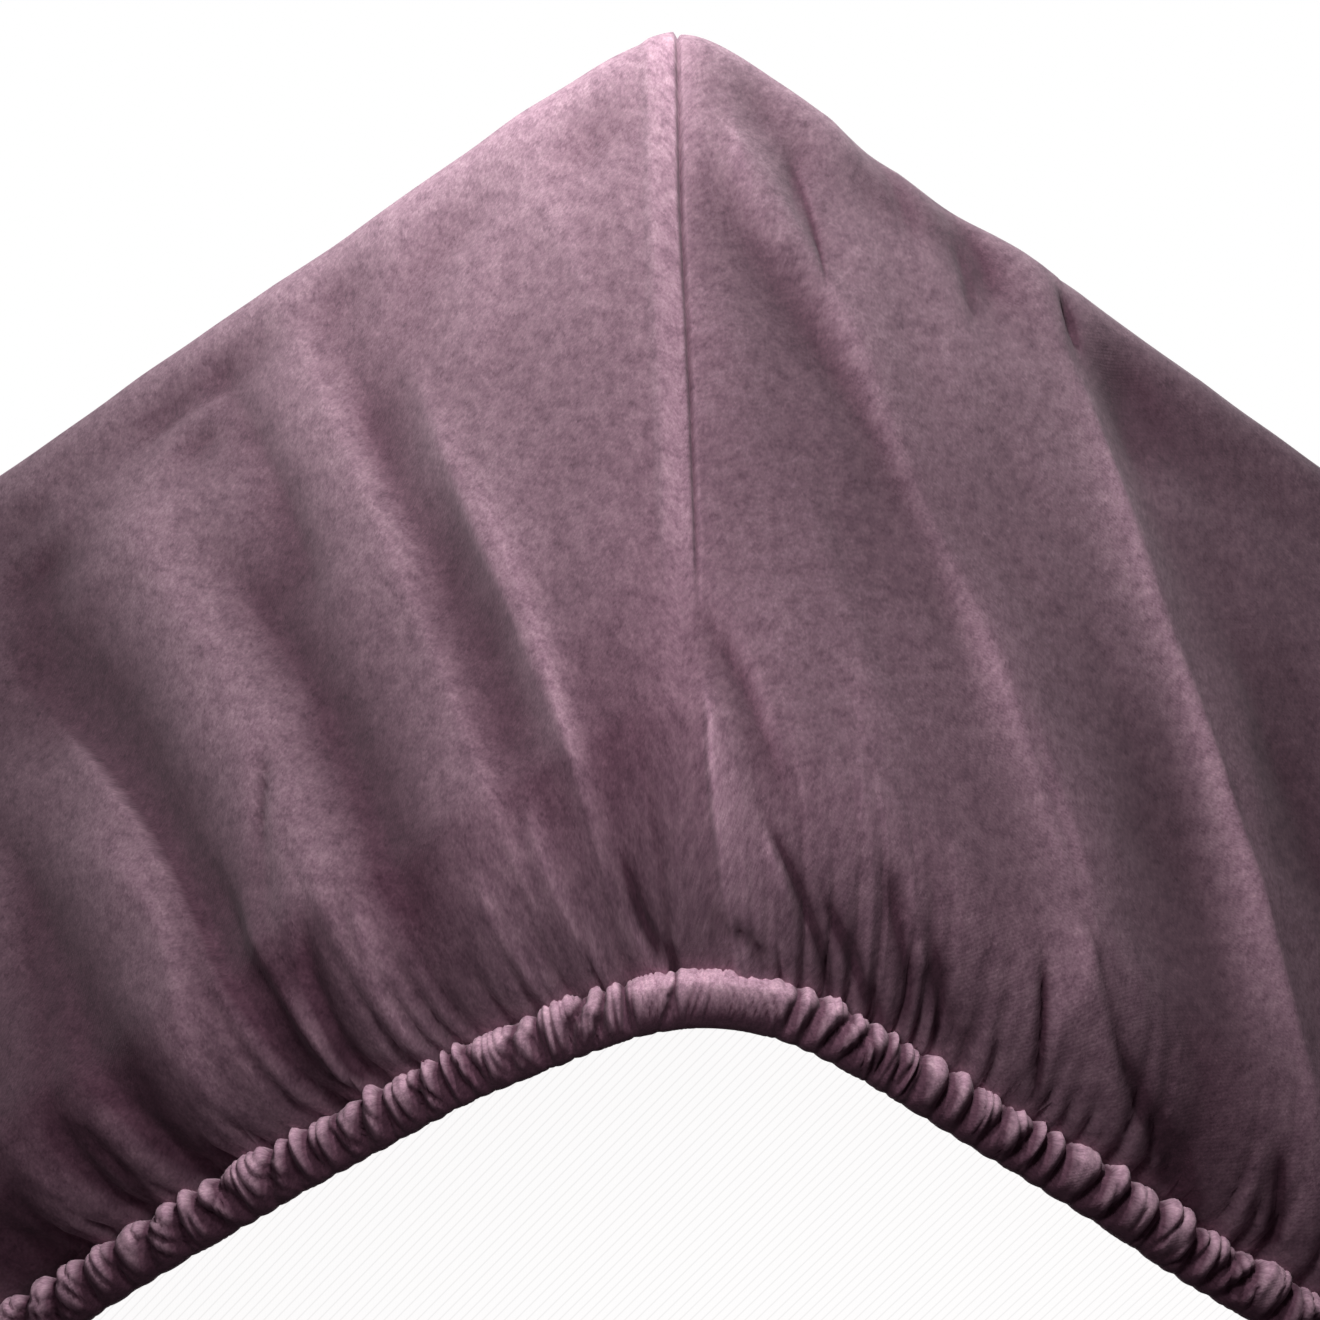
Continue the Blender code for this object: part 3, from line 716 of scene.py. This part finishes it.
def brushedWeaveGroup():
    # a faint diagonal rib under a brushed nap of crossing fibres, a speckle of their tone and a soft
    # mottle of the dye
    group = newGroup("brushedWeave", [
        ("Place", "NodeSocketVector", None), ("RibPitch", "NodeSocketFloat", 0.0008),
        ("NapSize", "NodeSocketFloat", 0.0007), ("Stretch", "NodeSocketFloat", 1.3),
        ("MottleSize", "NodeSocketFloat", 0.0036)],
        [("Height", "NodeSocketFloat"), ("Mottle", "NodeSocketFloat"), ("Nap", "NodeSocketFloat")])
    start = addNode(group, "NodeGroupInput", (-1100, 0))
    end = addNode(group, "NodeGroupOutput", (700, 0))
    split = addNode(group, "ShaderNodeSeparateXYZ", (-900, 200))
    group.links.new(start.outputs["Place"], split.inputs[0])
    across = mathNode(group, "ADD", split.outputs[0], split.outputs[1], (-520, 320))
    turns = mathNode(group, "DIVIDE", across, start.outputs["RibPitch"], (-360, 320))
    angle = mathNode(group, "MULTIPLY", turns, 2 * math.pi, (-220, 320))
    wave = mathNode(group, "SINE", angle, None, (-80, 320))
    longer = mathNode(group, "MULTIPLY", start.outputs["NapSize"], start.outputs["Stretch"], (-900, -100))
    fibres = []
    for order in (0, 1):
        place = addNode(group, "ShaderNodeCombineXYZ", (-500, 100 - 260 * order))
        for axis in (0, 1):
            size = longer if axis == order else start.outputs["NapSize"]
            spot = (-700, 100 - 130 * axis - 260 * order)
            part = mathNode(group, "DIVIDE", split.outputs[axis], size, spot)
            group.links.new(part, place.inputs[axis])
        part = mathNode(group, "DIVIDE", split.outputs[2], start.outputs["NapSize"], (-700, -300))
        group.links.new(part, place.inputs[2])
        nap = addNode(group, "ShaderNodeTexNoise", (-300, 100 - 260 * order))
        setInputs(nap, {"Scale": 1.0, "Detail": 2.5, "Roughness": 0.6})
        group.links.new(place.outputs[0], nap.inputs["Vector"])
        fibres.append(nap.outputs["Fac"])
    crossed = mathNode(group, "MAXIMUM", fibres[0], fibres[1], (-80, 60))
    mottleScale = mathNode(group, "DIVIDE", 1.0, start.outputs["MottleSize"], (-700, -500))
    mottle = addNode(group, "ShaderNodeTexNoise", (-480, -500))
    setInputs(mottle, {"Detail": 3.0, "Roughness": 0.92})
    group.links.new(start.outputs["Place"], mottle.inputs["Vector"])
    group.links.new(mottleScale, mottle.inputs["Scale"])
    rib = mathNode(group, "MULTIPLY", wave, 0.06, (100, 320))
    height = mathNode(group, "ADD", rib, crossed, (260, 120))
    group.links.new(height, end.inputs["Height"])
    group.links.new(mottle.outputs["Fac"], end.inputs["Mottle"])
    group.links.new(crossed, end.inputs["Nap"])
    return group


def ramp(tree, factor, stops, place):
    node = addNode(tree, "ShaderNodeValToRGB", place)
    elements = node.color_ramp.elements
    while len(elements) < len(stops):
        elements.new(0.5)
    for element, (position, colour) in zip(elements, stops):
        element.position = position
        element.color = (*colour, 1)
    tree.links.new(factor, node.inputs["Fac"])
    return node.outputs["Color"]


def newMaterial(name):
    made = bpy.data.materials.new(name)
    made.use_nodes = True
    return made, made.node_tree, made.node_tree.nodes["Principled BSDF"]


def mixColour(tree, blend, factor, first, second, place):
    node = addNode(tree, "ShaderNodeMix", place, data_type="RGBA", blend_type=blend)
    for socket, value in ((node.inputs[0], factor), (node.inputs[6], first), (node.inputs[7], second)):
        if isinstance(value, (int, float)):
            socket.default_value = value
        elif isinstance(value, tuple):
            socket.default_value = (*value, 1)
        else:
            tree.links.new(value, socket)
    return node.outputs[2]


# The cloth's colours: the darkest is a painted shade for the hollows of its relief, the palest a painted
# highlight for its ridges; cool and warm tint the mottle of the dye
plum = dict(
    paintedShade=(0.100, 0.046, 0.068), base=(0.268, 0.168, 0.208), paintedHighlight=(0.41, 0.262, 0.322),
    cool=(1.03, 0.97, 1.02), warm=(0.985, 1.012, 0.985),
    mottle=(0.60, 1.40), nap=(0.86, 1.15), napFrom=(0.42, 0.66),
    roughness=0.92, specular=0.2, sheen=0.12, sheenRoughness=0.5, sheenTint=(0.95, 0.82, 0.88),
    bump=0.25, napDistance=0.0005,
)


def mapped(tree, value, fromRange, toRange, place):
    node = addNode(tree, "ShaderNodeMapRange", place)
    for socket, number in zip(("From Min", "From Max", "To Min", "To Max"), (*fromRange, *toRange)):
        node.inputs[socket].default_value = number
    tree.links.new(value, node.inputs["Value"])
    return node.outputs["Result"]


def cottonMaterial(weave):
    made, tree, shader = newMaterial("plumCotton")
    uv = addNode(tree, "ShaderNodeUVMap", (-1300, 0), uv_map="clothUv")
    cottonWeave = addNode(tree, "ShaderNodeGroup", (-1050, 0), node_tree=weave)
    tree.links.new(uv.outputs["UV"], cottonWeave.inputs["Place"])
    # painted shade and highlight: the colour ramps from dark in the hollows of the relief to pale on its
    # ridges
    depth = addNode(tree, "ShaderNodeAttribute", (-1300, 300), attribute_name="paintedFoldShading")
    paintedShadingShare = mapped(tree, depth.outputs["Fac"], (-3.4, 3.6), (0, 1), (-1050, 300))
    tone = ramp(tree, paintedShadingShare, [(0.0, plum["paintedShade"]), (0.5, plum["base"]), (1.0, plum["paintedHighlight"])], (-800, 300))
    mottle = mapped(tree, cottonWeave.outputs["Mottle"], (0.3, 0.7), plum["mottle"], (-800, 0))
    nap = mapped(tree, cottonWeave.outputs["Nap"], plum["napFrom"], plum["nap"], (-800, -250))
    light = mathNode(tree, "MULTIPLY", mottle, nap, (-600, -100))
    hue = ramp(tree, cottonWeave.outputs["Mottle"], [(0.38, plum["cool"]), (0.62, plum["warm"])], (-800, 600))
    tinted = mixColour(tree, "MULTIPLY", 1.0, tone, hue, (-500, 400))
    colour = mixColour(tree, "MULTIPLY", 1.0, tinted, light, (-300, 200))
    tree.links.new(colour, shader.inputs["Base Color"])
    bump = addNode(tree, "ShaderNodeBump", (-400, -200))
    setInputs(bump, {"Strength": plum["bump"], "Distance": plum["napDistance"]})
    tree.links.new(cottonWeave.outputs["Height"], bump.inputs["Height"])
    tree.links.new(bump.outputs["Normal"], shader.inputs["Normal"])
    setInputs(shader, {
        "Roughness": plum["roughness"], "Specular IOR Level": plum["specular"],
        "Sheen Weight": plum["sheen"], "Sheen Roughness": plum["sheenRoughness"],
        "Sheen Tint": (*plum["sheenTint"], 1),
    })
    return made


ticking = dict(
    base=(0.90, 0.90, 0.895), stripe=(0.80, 0.80, 0.795), stripeFrom=0.75, pitch=0.0019, lean=14,
    napSize=0.0016, bump=0.15, napDistance=0.0003, roughness=0.8, specular=0.2,
)


def tickingMaterial(weave):
    # fine stripes across the mattress, a little off square
    made, tree, shader = newMaterial("ticking")
    place = addNode(tree, "ShaderNodeTexCoord", (-1500, 0))
    turned = addNode(tree, "ShaderNodeMapping", (-1300, 0))
    setInputs(turned, {"Rotation": (0, 0, math.radians(ticking["lean"]))})
    tree.links.new(place.outputs["Object"], turned.inputs["Vector"])
    split = addNode(tree, "ShaderNodeSeparateXYZ", (-1100, 0))
    tree.links.new(turned.outputs["Vector"], split.inputs[0])
    turns = mathNode(tree, "MULTIPLY", split.outputs[1], 2 * math.pi / ticking["pitch"], (-900, 0))
    wave = mathNode(tree, "SINE", turns, None, (-740, 0))
    line = mapped(tree, wave, (ticking["stripeFrom"], 1), (0, 1), (-580, 0))
    tickingWeave = addNode(tree, "ShaderNodeGroup", (-900, -300), node_tree=weave)
    setInputs(tickingWeave, {"NapSize": ticking["napSize"]})
    tree.links.new(place.outputs["Object"], tickingWeave.inputs["Place"])
    colour = mixColour(tree, "MIX", line, ticking["base"], ticking["stripe"], (-300, 100))
    tree.links.new(colour, shader.inputs["Base Color"])
    bump = addNode(tree, "ShaderNodeBump", (-300, -200))
    setInputs(bump, {"Strength": ticking["bump"], "Distance": ticking["napDistance"]})
    tree.links.new(tickingWeave.outputs["Height"], bump.inputs["Height"])
    tree.links.new(bump.outputs["Normal"], shader.inputs["Normal"])
    setInputs(shader, {"Roughness": ticking["roughness"], "Specular IOR Level": ticking["specular"]})
    return made


weave = brushedWeaveGroup()
cotton = cottonMaterial(weave)
sheet.data.materials.append(cotton)
hem.data.materials.append(cotton)
mattress.data.materials.append(tickingMaterial(weave))
print("stage 5: materials")

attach(sheet, "root")
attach(hem, "root")
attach(mattress, "root")
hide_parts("sheet")
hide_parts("mattress")

# Stage, lights and camera
studio = dict(
    floorSize=8.0, floorFade=(1.1, 2.6), floorTone=(0.86, 0.86, 0.85), floorRoughness=0.9,
    worldLight=0.055, worldTone=(1.0, 0.76, 0.90),
    target=(0.4354, -0.9405, 0.0535), azimuth=44.51, elevation=-40.83, distance=1.7, lens=239.9,
)


def makeFloor():
    half = studio["floorSize"] / 2
    mesh = bpy.data.meshes.new("floor")
    corners = [(-half, -half), (half, -half), (half, half), (-half, half)]
    mesh.from_pydata([(x, y, -0.0003) for x, y in corners], [], [(0, 1, 2, 3)])
    floor = bpy.data.objects.new("floor", mesh)
    bpy.context.scene.collection.objects.link(floor)
    made, tree, shader = newMaterial("paleFloor")
    setInputs(shader, {"Base Color": (*studio["floorTone"], 1), "Roughness": studio["floorRoughness"]})
    clear = addNode(tree, "ShaderNodeBsdfTransparent", (0, 300))
    mix = addNode(tree, "ShaderNodeMixShader", (300, 200))
    side = addNode(tree, "ShaderNodeNewGeometry", (-300, 300))
    path = addNode(tree, "ShaderNodeLightPath", (-300, 500))
    # only the camera sees it, and only from above, so it throws no light back at the cloth
    unseen = mathNode(tree, "SUBTRACT", 1.0, path.outputs["Is Camera Ray"], (-150, 500))
    through = mathNode(tree, "MAXIMUM", side.outputs["Backfacing"], unseen, (0, 500))
    # it fades out round the piece, so its own edge never shows
    place = addNode(tree, "ShaderNodeTexCoord", (-600, 700))
    distance = addNode(tree, "ShaderNodeVectorMath", (-450, 700), operation="LENGTH")
    tree.links.new(place.outputs["Object"], distance.inputs[0])
    faded = mapped(tree, distance.outputs["Value"], studio["floorFade"], (0, 1), (-300, 700))
    through = mathNode(tree, "MAXIMUM", through, faded, (150, 500))
    tree.links.new(through, mix.inputs[0])
    tree.links.new(shader.outputs[0], mix.inputs[1])
    tree.links.new(clear.outputs[0], mix.inputs[2])
    tree.links.new(mix.outputs[0], tree.nodes["Material Output"].inputs["Surface"])
    mesh.materials.append(made)
    return floor


def placeLamp(name, kind, place, aim, power, tone):
    data = bpy.data.lights.new(name, kind)
    data.energy = power
    data.color = tone
    lamp = bpy.data.objects.new(name, data)
    lamp.visible_camera = False
    lamp.location = place
    lamp.rotation_euler = (Vector(place) - Vector(aim)).to_track_quat("Z", "Y").to_euler()
    bpy.context.scene.collection.objects.link(lamp)
    return lamp


def areaLight(name, place, aim, size, power, tone=(1, 1, 1)):
    lamp = placeLamp(name, "AREA", place, aim, power, tone)
    lamp.data.shape = "DISK"
    lamp.data.size = size
    return lamp


def spotLight(name, place, aim, cone, softness, power, tone=(1, 1, 1)):
    lamp = placeLamp(name, "SPOT", place, aim, power, tone)
    lamp.data.spot_size = math.radians(cone)
    lamp.data.spot_blend = 1.0
    lamp.data.shadow_soft_size = softness
    return lamp


def onlyOn(name, *pieces):
    # a collection for lamps that light these pieces only
    only = bpy.data.collections.new(name)
    for piece in pieces:
        only.objects.link(piece)
    return only


def makeLights(floor):
    aim = (0.458, -0.958, 0.110)
    near = [
        spotLight("keyLight", (0.676, -1.3, 0.472), (0.429, -0.948, 0.252), 26.5, 0.04, 24.3,
                  (0.98, 1, 0.99)),
        areaLight("frontLight", (0.656, -1.156, 0.110), aim, 0.12, 0.45, (1, 0.96, 0.98)),
        areaLight("lowLight", (0.598, -1.343, -0.177), aim, 0.12, 0.37, (1, 0.88, 0.95)),
        areaLight("footLight", (0.580, -1.104, -0.060), (0.440, -0.940, 0.02), 0.06, 0.27, (1, 0.94, 0.98)),
        areaLight("edgeLight", (0.458, -1.170, 0.322), aim, 0.12, 0.15),
        areaLight("upperLight", (0.05, -1.18, 0.72), (0.15, -0.96, 0.2), 0.2, 1.9),
        spotLight("sideLight", (2.0, 1.7, 0.7), (0.46, 0.55, 0.1), 46, 0.3, 120.0),
    ]
    clothOnly = onlyOn("clothOnly", sheet, hem)
    for lamp in near:
        lamp.light_linking.receiver_collection = clothOnly
    rim = areaLight("hemLight", (0.80, -1.24, 0.16), (0.44, -0.94, 0.005), 0.05, 2.6)
    rim.light_linking.receiver_collection = onlyOn("hemOnly", hem)
    rim.light_linking.blocker_collection = onlyOn("hemShade", hem)
    areaLight("topLight", (0.0, 0.3, 2.4), (0, 0.2, 0.2), 1.6, 30.0)
    areaLight("farLight", (-1.6, 1.8, 1.3), (-0.3, 0.6, 0.1), 1.2, 22.0)
    ground = areaLight("groundLight", (0, 0, 3.4), (0, 0, 0), 4.5, 95.0)
    ground.light_linking.receiver_collection = onlyOn("groundOnly", floor)
    under = areaLight("underLight", (0, 0, -4), (0, 0, 0), 2.0, 194.0)
    under.light_linking.receiver_collection = onlyOn("underOnly", mattress)
    world = bpy.data.worlds.new("studioWorld")
    bpy.context.scene.world = world
    world.use_nodes = True
    tree = world.node_tree
    seen = tree.nodes["Background"]
    setInputs(seen, {"Color": (1, 1, 1, 1)})
    glow = addNode(tree, "ShaderNodeBackground", (0, -200))
    setInputs(glow, {"Color": (*studio["worldTone"], 1), "Strength": studio["worldLight"]})
    mix = addNode(tree, "ShaderNodeMixShader", (300, 0))
    path = addNode(tree, "ShaderNodeLightPath", (-200, 200))
    tree.links.new(path.outputs["Is Camera Ray"], mix.inputs[0])
    tree.links.new(glow.outputs[0], mix.inputs[1])
    tree.links.new(seen.outputs[0], mix.inputs[2])
    tree.links.new(mix.outputs[0], tree.nodes["World Output"].inputs["Surface"])
    bpy.context.scene.view_settings.view_transform = "Standard"


def makeCamera():
    data = bpy.data.cameras.new("camera")
    data.lens = studio["lens"]
    data.sensor_width = 36
    data.clip_end = 60
    camera = bpy.data.objects.new("camera", data)
    turn, rise = math.radians(studio["azimuth"]), math.radians(studio["elevation"])
    back = Vector((math.sin(turn) * math.cos(rise), -math.cos(turn) * math.cos(rise), math.sin(rise)))
    camera.location = Vector(studio["target"]) + back * studio["distance"]
    camera.rotation_euler = back.to_track_quat("Z", "Y").to_euler()
    bpy.context.scene.collection.objects.link(camera)
    bpy.context.scene.camera = camera


makeLights(makeFloor())
makeCamera()
print("stage 6: floor, lights and camera")
